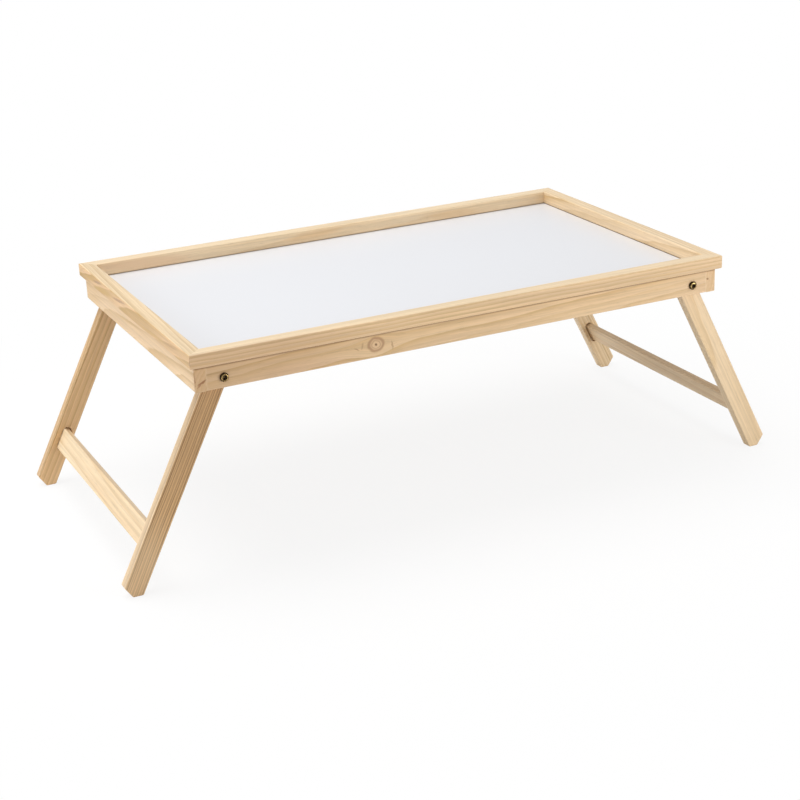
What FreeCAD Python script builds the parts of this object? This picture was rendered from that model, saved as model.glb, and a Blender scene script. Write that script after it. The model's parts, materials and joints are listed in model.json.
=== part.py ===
import FreeCAD, Part
import math
import os

# A folding bed tray table: a shallow framed tray on two pairs of splayed legs.
# All sizes are millimetres. X runs along the tray, Y to the back, Z up.
# The origin is on the floor, below the middle of the tray.

# Tray
TRAY_LENGTH = 500.0           # outside of the rim along X
TRAY_DEPTH = 300.0            # outside of the rim along Y
TRAY_HEIGHT = 200.0           # floor to the top of the rim
RIM_WIDTH = 13.0              # strips of the rim, seen from above
RIM_HEIGHT = 12.0
RIM_EDGE = 1.2                # rounded edges of the rim strips
APRON_SETBACK = 4.0           # from the rim's outside to the apron's outside
APRON_THICKNESS = 10.0
APRON_EDGE = 1.0              # rounded lower edges and ends of the apron boards
PANEL_THICKNESS = 2.5
PANEL_LAP = 3.5               # how far the panel reaches under the rim strips
PANEL_PLAY = 0.5              # free space round the panel in its rebate

# Legs
LEG_WIDTH = 18.0              # across the leg, in the plane that it swings in
LEG_THICKNESS = 10.0
LEG_SPLAY = 26.7              # degrees from upright
LEG_EDGE = 1.0
STOP_GAP = 0.3                # between an open leg and the apron edge that stops it
FOLD_CLEARANCE = 0.5          # between a folded leg and the panel
FOOT_CHAMFER_HEIGHT = 9.6     # bevel of the outer tip of the foot
FOOT_CHAMFER_WIDTH = 6.5
FOOT_CORNER = 1.5

# Stretchers between the legs of a pair, glued into routed slots
STRETCHER_HEIGHT = 43.0       # middle of the stretcher above the floor
STRETCHER_WIDTH = 20.0        # along the leg
STRETCHER_THICKNESS = 6.0
STRETCHER_EDGE = 1.0
SLOT_DEPTH = 4.0
SLOT_CUTTER = 9.0             # width of the slot and of its round ends
SLOT_OUTER_GAP = 0.5          # free space outside the stretcher, the rest is inside it
GLUE_GAP = 0.1

# Pivot screw, washers and nut at each corner
SCREW_DIAMETER = 4.0
SCREW_FIT = 0.06              # radial clearance round the shank
SCREW_TAIL = 1.5              # shank beyond the nut
SCREW_TIP = 0.4               # bevel at the end of the shank
HEAD_DIAMETER = 7.5
HEAD_HEIGHT = 2.4
HEAD_DOME = 1.4               # rounding of the head's outer edge
RECESS_SPAN = 4.4             # cross recess in the head
RECESS_WIDTH = 1.0
RECESS_DEPTH = 1.4
WASHER_DIAMETER = 9.0
SPACER_THICKNESS = 0.7        # washer between apron and leg
WASHER_THICKNESS = 0.8        # washer between leg and nut
SWING_GAP = 0.3               # free gap between a leg and each of its washers
NUT_ACROSS_FLATS = 7.0
NUT_HEIGHT = 3.2
COLLAR_DIAMETER = 6.2         # locking collar of the nut
COLLAR_HEIGHT = 1.6

# Hidden dowels that join the apron boards at the corners
DOWEL_DIAMETER = 5.0
DOWEL_FIT = 0.05
DOWEL_BEVEL = 0.5
DOWEL_DEPTH = 6.0             # into the end boards
DOWEL_END_GAP = 0.5
DOWEL_SCREW_WALL = 3.5        # wood left between a dowel's hole and the screw's hole
DOWELS_PER_CORNER = 2

TINY = 1e-6                   # lengths below this count as nothing

# Levels, from the floor up
RIM_BASE_Z = TRAY_HEIGHT - RIM_HEIGHT
PANEL_BASE_Z = RIM_BASE_Z - PANEL_THICKNESS
APRON_BASE_Z = PANEL_BASE_Z - FOLD_CLEARANCE - LEG_WIDTH
PIVOT_Z = APRON_BASE_Z + LEG_WIDTH / 2

# Half lengths and half depths, from the middle out
RIM_OUT_X = TRAY_LENGTH / 2
RIM_OUT_Y = TRAY_DEPTH / 2
RIM_IN_X = RIM_OUT_X - RIM_WIDTH
RIM_IN_Y = RIM_OUT_Y - RIM_WIDTH
APRON_OUT_X = RIM_OUT_X - APRON_SETBACK
APRON_OUT_Y = RIM_OUT_Y - APRON_SETBACK
APRON_IN_X = APRON_OUT_X - APRON_THICKNESS
APRON_IN_Y = APRON_OUT_Y - APRON_THICKNESS
PANEL_X = RIM_IN_X + PANEL_LAP
PANEL_Y = RIM_IN_Y + PANEL_LAP
REBATE_X = PANEL_X + PANEL_PLAY
REBATE_Y = PANEL_Y + PANEL_PLAY

# Stack along each pivot screw, from the apron's inside to the screw's end
SPACER_Y = APRON_IN_Y - SPACER_THICKNESS
LEG_OUT_Y = SPACER_Y - SWING_GAP
LEG_IN_Y = LEG_OUT_Y - LEG_THICKNESS
WASHER_OUT_Y = LEG_IN_Y - SWING_GAP
WASHER_IN_Y = WASHER_OUT_Y - WASHER_THICKNESS
NUT_IN_Y = WASHER_IN_Y - NUT_HEIGHT
COLLAR_IN_Y = NUT_IN_Y - COLLAR_HEIGHT
SCREW_END_Y = COLLAR_IN_Y - SCREW_TAIL
SCREW_HOLE_RADIUS = SCREW_DIAMETER / 2 + SCREW_FIT

# An open leg leans on the rounded lower inner edge of the end board,
# which sets how far out its pivot is.
SPLAY_SIN = math.sin(math.radians(LEG_SPLAY))
SPLAY_COS = math.cos(math.radians(LEG_SPLAY))
STOP_X = APRON_IN_X + APRON_EDGE
STOP_DROP = PIVOT_Z - APRON_BASE_Z - APRON_EDGE
STOP_REACH = LEG_WIDTH / 2 + STOP_GAP + APRON_EDGE
PIVOT_X = STOP_X - (STOP_REACH + STOP_DROP * SPLAY_SIN) / SPLAY_COS

# Stretcher and slot, along the leg from the pivot and across it from its middle
STRETCHER_ALONG = (PIVOT_Z - STRETCHER_HEIGHT) / SPLAY_COS
STRETCHER_HALF_Y = LEG_IN_Y + SLOT_DEPTH - GLUE_GAP
SLOT_ACROSS = STRETCHER_THICKNESS / 2 + SLOT_OUTER_GAP - SLOT_CUTTER / 2

# The slot's round ends stay clear of the stretcher's rounded corners by the glue gap.
CORNER_ROOM = SLOT_CUTTER / 2 - STRETCHER_EDGE - GLUE_GAP
CORNER_ACROSS = SLOT_CUTTER / 2 - STRETCHER_EDGE - SLOT_OUTER_GAP
CORNER_REACH = math.sqrt(CORNER_ROOM ** 2 - CORNER_ACROSS ** 2)
SLOT_HALF_LENGTH = STRETCHER_WIDTH / 2 - STRETCHER_EDGE - CORNER_REACH + SLOT_CUTTER / 2

# Dowels, in the middle of the long boards' thickness
DOWEL_Y = APRON_IN_Y + APRON_THICKNESS / 2
DOWEL_OUT_X = APRON_IN_X + DOWEL_DEPTH
DOWEL_IN_X = PIVOT_X + SCREW_HOLE_RADIUS + DOWEL_SCREW_WALL + DOWEL_END_GAP

LEFT = -1
RIGHT = 1
FRONT = -1
BACK = 1


def box_between(corner, opposite):
    """A box between two opposite corners."""
    low = [min(pair) for pair in zip(corner, opposite)]
    high = [max(pair) for pair in zip(corner, opposite)]
    spans = [top - bottom for bottom, top in zip(low, high)]
    return Part.makeBox(*spans, FreeCAD.Vector(*low))


def rod_between(start, end, radius):
    """A round rod from one point to another."""
    path = end - start
    return Part.makeCylinder(radius, path.Length, start, path)


def edges_that(shape, test):
    """The edges of a shape for which test(first end, last end) holds."""
    found = []
    for edge in shape.Edges:
        first = edge.Vertexes[0].Point
        last = edge.Vertexes[-1].Point
        if test(first, last):
            found.append(edge)
    return found


def runs_along_x(first, last):
    return abs(first.x - last.x) > TINY


def runs_along_y(first, last):
    return abs(first.y - last.y) > TINY


def rounded_face(corners):
    """A flat face from (point, radius) pairs, each corner rounded by its radius."""
    arcs = []
    count = len(corners)
    for index, (point, radius) in enumerate(corners):
        before = (corners[index - 1][0] - point).normalize()
        after = (corners[(index + 1) % count][0] - point).normalize()
        half_angle = before.getAngle(after) / 2
        reach = radius / math.tan(half_angle)
        inward = (before + after).normalize()
        depth = radius / math.sin(half_angle) - radius
        arcs.append((point + before * reach, point + inward * depth, point + after * reach))
    edges = []
    for index, (start, middle, end) in enumerate(arcs):
        following = arcs[(index + 1) % count][0]
        edges.append(Part.Arc(start, middle, end).toShape())
        if (following - end).Length > TINY:
            edges.append(Part.LineSegment(end, following).toShape())
    return Part.Face(Part.Wire(edges))


def leg_point(side, along, across, y):
    """A point given along a leg from its pivot, and across it towards the outside."""
    x = PIVOT_X + along * SPLAY_SIN + across * SPLAY_COS
    z = PIVOT_Z - along * SPLAY_COS + across * SPLAY_SIN
    return FreeCAD.Vector(side * x, y, z)


def along_at_height(across, height):
    """How far along the leg a line beside its middle line comes down to a height."""
    return (PIVOT_Z + across * SPLAY_SIN - height) / SPLAY_COS


def leg_bar(side, along, across, half_along, half_across, radius, y_start, y_end):
    """A bar across the legs, square to them, with its long edges rounded."""
    signs = ((-1, -1), (-1, 1), (1, 1), (1, -1))
    corners = []
    for sign_along, sign_across in signs:
        point = leg_point(
            side, along + sign_along * half_along, across + sign_across * half_across, y_start)
        corners.append((point, radius))
    return rounded_face(corners).extrude(FreeCAD.Vector(0, y_end - y_start, 0))


def pivot_point(side, end, y):
    return FreeCAD.Vector(side * PIVOT_X, end * y, PIVOT_Z)


def screw_hole(side, end, y_in, y_out):
    """The hole for a pivot screw through one piece."""
    return rod_between(
        pivot_point(side, end, y_in), pivot_point(side, end, y_out), SCREW_HOLE_RADIUS)


def dowel_levels():
    """Heights of the dowels, evenly spaced up the apron below the panel."""
    step = (PANEL_BASE_Z - APRON_BASE_Z) / DOWELS_PER_CORNER
    levels = []
    for number in range(DOWELS_PER_CORNER):
        levels.append(APRON_BASE_Z + step * (number + 0.5))
    return levels


def dowel_rods(side, end, radius, end_gap):
    """Rods on the dowels' lines at one corner, longer at both ends by the gap."""
    rods = []
    for level in dowel_levels():
        start = FreeCAD.Vector(side * (DOWEL_IN_X - end_gap), end * DOWEL_Y, level)
        stop = FreeCAD.Vector(side * (DOWEL_OUT_X + end_gap), end * DOWEL_Y, level)
        rods.append(rod_between(start, stop, radius))
    return rods


def dowel_holes(side, end):
    return dowel_rods(side, end, DOWEL_DIAMETER / 2 + DOWEL_FIT, DOWEL_END_GAP)


def make_panel():
    """The thin board that things stand on."""
    return box_between(
        (-PANEL_X, -PANEL_Y, PANEL_BASE_Z), (PANEL_X, PANEL_Y, RIM_BASE_Z))


def mitred_strip(corners, runs_along):
    """Rim strip on a four-cornered outline, with its long edges rounded."""
    points = [FreeCAD.Vector(x, y, RIM_BASE_Z) for x, y in corners + corners[:1]]
    strip = Part.Face(Part.makePolygon(points)).extrude(FreeCAD.Vector(0, 0, RIM_HEIGHT))
    return strip.makeFillet(RIM_EDGE, edges_that(strip, runs_along))


def make_end_rim(side):
    """Rim strip at the left or right end, mitred at both corners."""
    corners = [
        (side * RIM_OUT_X, -RIM_OUT_Y), (side * RIM_OUT_X, RIM_OUT_Y),
        (side * RIM_IN_X, RIM_IN_Y), (side * RIM_IN_X, -RIM_IN_Y)]

    def is_long(first, last):
        return runs_along_y(first, last) and not runs_along_x(first, last)

    return mitred_strip(corners, is_long)


def make_long_rim(end):
    """Rim strip at the front or back, mitred at both corners."""
    corners = [
        (-RIM_OUT_X, end * RIM_OUT_Y), (RIM_OUT_X, end * RIM_OUT_Y),
        (RIM_IN_X, end * RIM_IN_Y), (-RIM_IN_X, end * RIM_IN_Y)]

    def is_long(first, last):
        return runs_along_x(first, last) and not runs_along_y(first, last)

    return mitred_strip(corners, is_long)


def make_end_apron(side):
    """Apron board at the left or right end, with a stopped rebate for the panel."""
    board = box_between(
        (side * APRON_IN_X, -APRON_OUT_Y, APRON_BASE_Z),
        (side * APRON_OUT_X, APRON_OUT_Y, RIM_BASE_Z))

    def is_rounded(first, last):
        lower = first.z < RIM_BASE_Z - TINY and last.z < RIM_BASE_Z - TINY
        outer_end = abs(first.x) > APRON_OUT_X - TINY and abs(last.x) > APRON_OUT_X - TINY
        upright = abs(first.z - last.z) > TINY
        return (lower and runs_along_y(first, last)) or (upright and outer_end)

    board = board.makeFillet(APRON_EDGE, edges_that(board, is_rounded))
    board = board.cut(box_between(
        (side * APRON_IN_X, -REBATE_Y, PANEL_BASE_Z), (side * REBATE_X, REBATE_Y, RIM_BASE_Z)))
    for end in (FRONT, BACK):
        board = board.cut(dowel_holes(side, end))
    return board


def make_long_apron(end):
    """Apron board at the front or back, between the end boards."""
    board = box_between(
        (-APRON_IN_X, end * APRON_IN_Y, APRON_BASE_Z),
        (APRON_IN_X, end * APRON_OUT_Y, RIM_BASE_Z))

    def is_rounded(first, last):
        lower = first.z < RIM_BASE_Z - TINY and last.z < RIM_BASE_Z - TINY
        return lower and runs_along_x(first, last)

    board = board.makeFillet(APRON_EDGE, edges_that(board, is_rounded))
    board = board.cut(box_between(
        (-APRON_IN_X, end * APRON_IN_Y, PANEL_BASE_Z), (APRON_IN_X, end * REBATE_Y, RIM_BASE_Z)))
    for side in (LEFT, RIGHT):
        board = board.cut(screw_hole(side, end, APRON_IN_Y, APRON_OUT_Y))
        board = board.cut(dowel_holes(side, end))
    return board


def make_leg(side, end):
    """Leg with a round top about its pivot, a floor-flat foot and a stretcher slot."""
    half = LEG_WIDTH / 2
    y_in = end * LEG_IN_Y
    heel = leg_point(side, along_at_height(-half, 0), -half, y_in)
    tip = leg_point(side, along_at_height(half, FOOT_CHAMFER_HEIGHT), half, y_in)
    toe = tip - FreeCAD.Vector(side * FOOT_CHAMFER_WIDTH, 0, FOOT_CHAMFER_HEIGHT)
    corners = (
        (leg_point(side, -half, -half, y_in), half),
        (heel, FOOT_CORNER),
        (toe, FOOT_CORNER),
        (tip, FOOT_CORNER),
        (leg_point(side, -half, half, y_in), half),
    )
    leg = rounded_face(corners).extrude(FreeCAD.Vector(0, end * LEG_THICKNESS, 0))

    def on_a_wide_face(first, last):
        return not runs_along_y(first, last)

    leg = leg.makeFillet(LEG_EDGE, edges_that(leg, on_a_wide_face))
    leg = leg.cut(screw_hole(side, end, LEG_IN_Y, LEG_OUT_Y))
    slot = leg_bar(
        side, STRETCHER_ALONG, SLOT_ACROSS, SLOT_HALF_LENGTH, SLOT_CUTTER / 2,
        SLOT_CUTTER / 2, y_in, end * (LEG_IN_Y + SLOT_DEPTH))
    return leg.cut(slot)


def make_stretcher(side):
    """Flat bar between the two legs of a pair."""
    return leg_bar(
        side, STRETCHER_ALONG, 0, STRETCHER_WIDTH / 2, STRETCHER_THICKNESS / 2,
        STRETCHER_EDGE, -STRETCHER_HALF_Y, STRETCHER_HALF_Y)


def make_screw(side, end):
    """Pan-head screw with a cross recess, its head on the apron's outside."""
    seat = pivot_point(side, end, APRON_OUT_Y)
    crown = pivot_point(side, end, APRON_OUT_Y + HEAD_HEIGHT)
    tail = pivot_point(side, end, SCREW_END_Y)

    def at_y(level):
        def test(first, last):
            return abs(first.y - level) < TINY and abs(last.y - level) < TINY
        return test

    head = rod_between(seat, crown, HEAD_DIAMETER / 2)
    head = head.makeFillet(HEAD_DOME, edges_that(head, at_y(crown.y)))
    shank = rod_between(seat, tail, SCREW_DIAMETER / 2)
    shank = shank.makeChamfer(SCREW_TIP, edges_that(shank, at_y(tail.y)))
    screw = head.fuse(shank)
    floor = crown - FreeCAD.Vector(0, end * RECESS_DEPTH, 0)
    span = FreeCAD.Vector(RECESS_SPAN / 2, 0, RECESS_WIDTH / 2)
    rise = FreeCAD.Vector(RECESS_WIDTH / 2, 0, RECESS_SPAN / 2)
    for half in (span, rise):
        screw = screw.cut(box_between(floor - half, crown + half))
    return screw.removeSplitter()


def make_washer(side, end, y_in, y_out):
    ring = rod_between(
        pivot_point(side, end, y_in), pivot_point(side, end, y_out), WASHER_DIAMETER / 2)
    return ring.cut(screw_hole(side, end, y_in, y_out))


def make_nut(side, end):
    """Hexagonal lock nut on the screw, against the inner washer."""
    middle = pivot_point(side, end, WASHER_IN_Y)
    corner_radius = NUT_ACROSS_FLATS / 2 / math.cos(math.radians(30))
    points = []
    for angle in range(0, 361, 60):
        turn = math.radians(angle)
        points.append(middle + FreeCAD.Vector(
            corner_radius * math.cos(turn), 0, corner_radius * math.sin(turn)))
    hexagon = Part.Face(Part.makePolygon(points))
    nut = hexagon.extrude(FreeCAD.Vector(0, -end * NUT_HEIGHT, 0))
    collar = rod_between(
        pivot_point(side, end, NUT_IN_Y), pivot_point(side, end, COLLAR_IN_Y),
        COLLAR_DIAMETER / 2)
    nut = nut.fuse(collar).cut(screw_hole(side, end, COLLAR_IN_Y, WASHER_IN_Y))
    return nut.removeSplitter()


def make_dowels(side, end):
    """The dowels at one corner, bevelled at both ends."""
    dowels = []
    for rod in dowel_rods(side, end, DOWEL_DIAMETER / 2, 0):
        rims = edges_that(rod, lambda first, last: not runs_along_x(first, last))
        dowels.append(rod.makeChamfer(DOWEL_BEVEL, rims))
    return dowels


def at_each_corner(make):
    """One group of the pieces that make(side, end) gives at the four corners."""
    pieces = []
    for side in (LEFT, RIGHT):
        for end in (FRONT, BACK):
            made = make(side, end)
            pieces.extend(made if isinstance(made, list) else [made])
    return Part.makeCompound(pieces)


def build():
    """Every piece by its name."""
    pieces = {"tray_panel": make_panel()}
    for side, side_name in ((LEFT, "left"), (RIGHT, "right")):
        pieces["rim_" + side_name] = make_end_rim(side)
        pieces["apron_" + side_name] = make_end_apron(side)
        pieces["stretcher_" + side_name] = make_stretcher(side)
        for end, end_name in ((FRONT, "front"), (BACK, "back")):
            pieces["leg_" + side_name + "_" + end_name] = make_leg(side, end)
    for end, end_name in ((FRONT, "front"), (BACK, "back")):
        pieces["rim_" + end_name] = make_long_rim(end)
        pieces["apron_" + end_name] = make_long_apron(end)
    pieces["pivot_screws"] = at_each_corner(make_screw)
    pieces["spacer_washers"] = at_each_corner(
        lambda side, end: make_washer(side, end, SPACER_Y, APRON_IN_Y))
    pieces["inner_washers"] = at_each_corner(
        lambda side, end: make_washer(side, end, WASHER_IN_Y, WASHER_OUT_Y))
    pieces["pivot_nuts"] = at_each_corner(make_nut)
    pieces["corner_dowels"] = at_each_corner(make_dowels)
    return pieces


def export(pieces):
    """Each piece in a file of its own name."""
    os.makedirs("parts", exist_ok=True)
    for name, shape in pieces.items():
        shape.exportStep("parts/" + name + ".step")


PIECES = build()
export(PIECES)
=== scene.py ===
import json
import math
from collections import namedtuple
from functools import cache

import bmesh
import bpy
from bpy.props import FloatProperty, FloatVectorProperty, IntProperty, PointerProperty
from mathutils import Matrix, Vector


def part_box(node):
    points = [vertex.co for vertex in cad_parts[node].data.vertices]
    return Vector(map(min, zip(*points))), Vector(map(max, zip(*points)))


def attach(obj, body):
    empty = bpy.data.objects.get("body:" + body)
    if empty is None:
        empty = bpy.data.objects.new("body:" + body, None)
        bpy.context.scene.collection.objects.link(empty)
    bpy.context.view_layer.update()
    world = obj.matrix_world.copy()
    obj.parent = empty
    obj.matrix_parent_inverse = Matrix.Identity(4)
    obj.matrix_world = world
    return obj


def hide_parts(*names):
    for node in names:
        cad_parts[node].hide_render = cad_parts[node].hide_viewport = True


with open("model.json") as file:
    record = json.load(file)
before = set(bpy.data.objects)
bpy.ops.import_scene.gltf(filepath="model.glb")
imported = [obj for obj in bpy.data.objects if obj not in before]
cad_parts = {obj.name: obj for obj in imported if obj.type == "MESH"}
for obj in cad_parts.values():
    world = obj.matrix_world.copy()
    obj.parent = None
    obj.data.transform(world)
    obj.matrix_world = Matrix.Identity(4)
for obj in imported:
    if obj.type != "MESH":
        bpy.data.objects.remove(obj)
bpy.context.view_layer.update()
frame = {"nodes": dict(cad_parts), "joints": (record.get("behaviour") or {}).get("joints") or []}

bl_info = {
    "name": "Folding Bed Tray",
    "version": (1, 0, 0),
    "blender": (4, 5, 0),
    "location": "3D View > Sidebar > Bed Tray",
    "description": "Finishes the frame of a folding bed tray in lacquered pine, white laminate and brass",
    "category": "Object",
}

# The frame's own measures, in metres.
JOINTS = {joint["name"]: joint for joint in frame["joints"]}
RIGHT_PIVOT = Vector(JOINTS["right_legs_fold"]["pos_m"])
FOLD_RANGE = math.radians(JOINTS["right_legs_fold"]["range_deg"][1])
SPLAY = FOLD_RANGE - math.radians(90)
APRON_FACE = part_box("apron_back")[1][1]


def centre_of(node):
    low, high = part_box(node)
    return (Vector(low) + Vector(high)) / 2


def spread(node, direction):
    """Size of a node's solid along a direction."""
    reach = [vertex.co.dot(direction) for vertex in frame["nodes"][node].data.vertices]
    return max(reach) - min(reach)


def reach_of(node):
    """Least and greatest distance along Y of a mirrored node from the tray's middle."""
    reach = [abs(vertex.co.y) for vertex in frame["nodes"][node].data.vertices]
    return min(reach), max(reach)


# ---- Sizes and colours ----

def colour(name, description, default):
    return FloatVectorProperty(
        name=name, description=description, default=default, subtype="COLOR", min=0, max=1)


def length(name, description, default):
    return FloatProperty(
        name=name, description=description, default=default, unit="LENGTH", subtype="DISTANCE", min=0)


def share(name, description, default):
    return FloatProperty(
        name=name, description=description, default=default, subtype="FACTOR", min=0, max=1)


def angle(name, description, degrees):
    return FloatProperty(
        name=name, description=description, default=math.radians(degrees),
        unit="ROTATION", subtype="ANGLE")


def power(name, description, watts):
    return FloatProperty(
        name=name, description=description, default=watts, unit="POWER", subtype="POWER", min=0)


class PineSettings(bpy.types.PropertyGroup):
    """Lacquered pine, shared by all the boards."""
    # Cream and umber also paint light and shade: on the faces that look along Y, and on the front left leg.
    cream: colour("Cream", "Palest early wood", (0.935, 0.765, 0.525))
    honey: colour("Honey", "Early wood of the darker boards", (0.76, 0.485, 0.235))
    blush: colour("Blush", "Pinkish early wood of some boards", (0.82, 0.56, 0.34))
    amber: colour("Amber", "Late wood, the dark line of each year", (0.55, 0.325, 0.075))
    umber: colour("Umber", "Late wood of the most strongly marked boards", (0.20, 0.095, 0.032))
    # Knot also paints the shade on the left part of the front faces.
    knot: colour("Knot", "Rings and heart of a knot", (0.30, 0.125, 0.05))
    end_shade: share("End shade", "How much darker end grain is", 0.10)
    # The next three settings paint shade: a dark band on the aprons just below the rim, where the rim's
    # overhang shades them.
    seam: colour("Seam", "Dark line where two pieces meet", (0.20, 0.095, 0.035))
    under_rim_shade_width: length("Seam width", "Width of that line below the rim", 0.0030)
    under_rim_shade_depth: share("Seam depth", "How strongly that line shows", 0.75)
    year_change: share("Year change", "How much the early wood differs from year to year", 0.18)
    end_tint: share("End tint", "How much end grain takes a warmer tone", 0.55)
    knot_halo: share("Knot halo", "How strongly the wood is tinted round a knot", 0.35)
    knot_rings: share("Knot rings", "How strongly a knot's rings show", 0.58)
    knot_heart: share("Knot heart", "How strongly a knot's heart shows", 0.90)
    rubbed: share("Rubbed edge", "How strongly the rubbed edges show", 0.22)
    lacquer_roughness: share("Lacquer roughness", "Roughness of the satin lacquer", 0.40)
    lacquer_coat: share("Lacquer coat", "Weight of the clear coat", 0.18)
    coat_roughness: share("Coat roughness", "Roughness of the clear coat", 0.3)
    shine: share("Shine", "Specular level of the wood under the coat", 0.35)
    ease: length("Eased edge", "Width of the rubbed band along each edge", 0.0013)
    relief: length("Grain relief", "Height of the grain under the lacquer", 0.00006)


class PanelSettings(bpy.types.PropertyGroup):
    """White laminated board."""
    white: colour("White", "Laminate on the upper side", (0.79, 0.80, 0.83))
    # The next three settings paint shade: a thin dark line on the panel along the rims, where they meet it
    # and shade it.
    gap: colour("Gap", "Dark line along the rim", (0.20, 0.13, 0.08))
    rim_shade_width: length("Gap width", "Width of that line", 0.0011)
    rim_shade_depth: share("Gap depth", "How strongly that line shows", 0.75)
    brown: colour("Brown", "Bare fibreboard below and at the edges", (0.36, 0.23, 0.13))
    skin: length("Skin", "Thickness of the laminate", 0.0003)
    edge: length("Edge", "Rounding of the cut edges", 0.0002)
    roughness: share("Roughness", "Roughness of the laminate", 0.34)
    relief: length("Relief", "Height of its unevenness; the bare side has twice as much", 0.00006)


class HardwareSettings(bpy.types.PropertyGroup):
    """Pivot screws, washers, nuts and dowels."""
    # Brass and Patina paint the screw heads' light: bright brass shows as painted glints, and the dark
    # patina is a painted dark reflection over the rest of each screw.
    brass: colour("Brass", "Bright brass where the head is worn", (0.62, 0.43, 0.17))
    painted_dark_reflection: colour("Patina", "Dark film on the rest of the screw", (0.045, 0.028, 0.015))
    zinc: colour("Zinc", "Plated washers and nuts", (0.62, 0.61, 0.58))
    nylon: colour("Nylon", "Locking ring of the nuts", (0.70, 0.74, 0.78))
    beech: colour("Beech", "Bare wood of the dowels", (0.62, 0.42, 0.25))
    fleck: colour("Fleck", "Short dark flecks in that wood", (0.45, 0.27, 0.14))
    shank: length("Shank radius", "Radius of the screw's shank", 0.002)
    bore_play: length("Bore play", "Gap between the shank and the pieces on it", 0.00006)
    pitch: length("Thread pitch", "Distance between the thread's crests", 0.0007)
    thread_length: length("Thread length", "Length of the threaded end", 0.0069)
    thread_depth: length("Thread depth", "Depth of the thread", 0.00035)
    recess_span: length("Recess span", "Width across the cross recess", 0.0046)
    recess_width: length("Recess width", "Width of each arm of the recess", 0.0011)
    recess_depth: length("Recess depth", "Depth of the recess", 0.0015)
    washer_edge: length("Washer edge", "Rounding of the washers' edges", 0.0001)
    collar_radius: length("Collar radius", "Radius of the collar that holds the nylon ring", 0.0031)
    collar_height: length("Collar height", "How far that collar stands off the hexagon", 0.0016)
    collar_lip: length("Collar lip", "How far the collar is rolled over the ring", 0.0007)
    seed: IntProperty(name="Seed", description="Picks how far each screw is turned", default=4)


class StageSettings(bpy.types.PropertyGroup):
    """Camera, floor and lamps."""
    azimuth: angle("Azimuth", "Camera's turn round the object", -25.378)
    elevation: angle("Elevation", "Camera's height as an angle", 20.911)
    roll: angle("Roll", "Camera's turn about its own line of sight", -2.283)
    distance: length("Distance", "Camera to the point that it looks at", 1.57893)
    look_at: FloatVectorProperty(
        name="Look at", description="Point in the middle of the picture",
        default=(-0.00841, -0.01676, 0.07129), subtype="XYZ", unit="LENGTH")
    lens: FloatProperty(
        name="Lens", description="Focal length on a 36 mm wide sensor",
        default=77.36, unit="CAMERA")
    floor_size: length("Floor size", "Side of the square floor", 8.0)
    floor: colour("Floor", "Colour of the floor", (0.93, 0.93, 0.93))
    fade_start: length("Fade start", "Where the floor starts to fade into the white", 0.30)
    fade_end: length("Fade end", "Where the floor has faded into the white", 0.62)
    floor_shadow: share("Floor shadow", "How much of the shadow on the floor shows", 0.15)
    sky: FloatProperty(name="Sky", description="Strength of the even light", default=0.52, min=0)
    key: power("Key lamp", "Large lamp above", 17.5)
    side: power("Side lamp", "Lamp at the left", 8.0)
    front: power("Front lamp", "Low lamp in front, at the right", 4.8)


SETTINGS = {
    "bed_tray_pine": PineSettings,
    "bed_tray_panel": PanelSettings,
    "bed_tray_hardware": HardwareSettings,
    "bed_tray_stage": StageSettings,
}


# ---- Node graphs ----

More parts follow.
